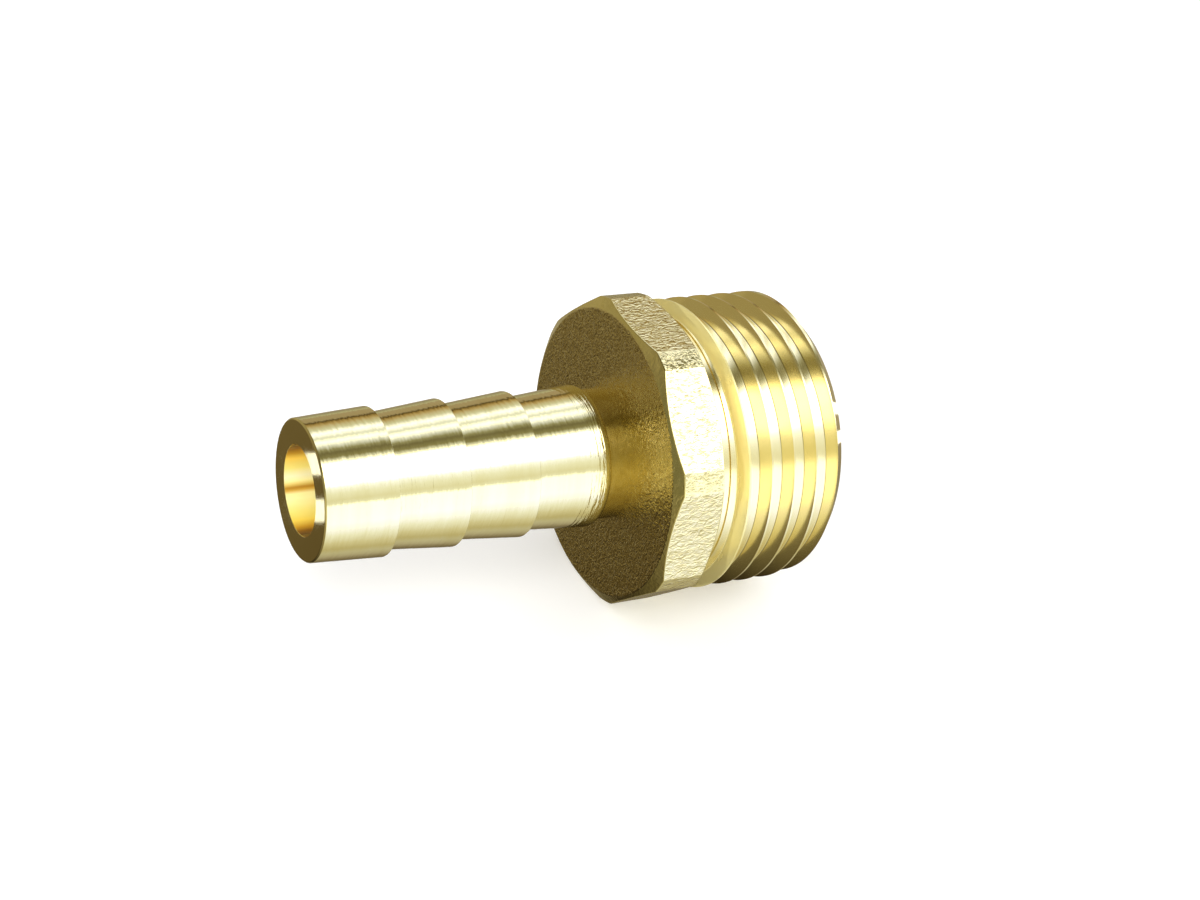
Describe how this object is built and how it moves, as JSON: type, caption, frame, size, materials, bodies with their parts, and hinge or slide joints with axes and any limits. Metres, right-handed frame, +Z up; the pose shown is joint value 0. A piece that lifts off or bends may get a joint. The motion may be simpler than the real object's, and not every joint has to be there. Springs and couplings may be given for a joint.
{
  "type": "hose barb tail",
  "caption": "One-piece brass adaptor: barbed spigot for a push-on hose, chamfered octagonal spanner collar and a parallel male pipe thread, bored through.",
  "frame": {"origin": "on the surface the fitting lies on, under the middle of its length, below the turning axis", "axes": "+X along the turning axis from the hose tip towards the threaded end, +Z up, one collar flat facing straight down"},
  "size_m": [0.0362, 0.021, 0.021],
  "materials": {
    "brass": "polished turned spigot and thread, blasted forged collar"
  },
  "bodies": {
    "root": {"hose_barb_tail": "brass"}
  },
  "joints": []
}
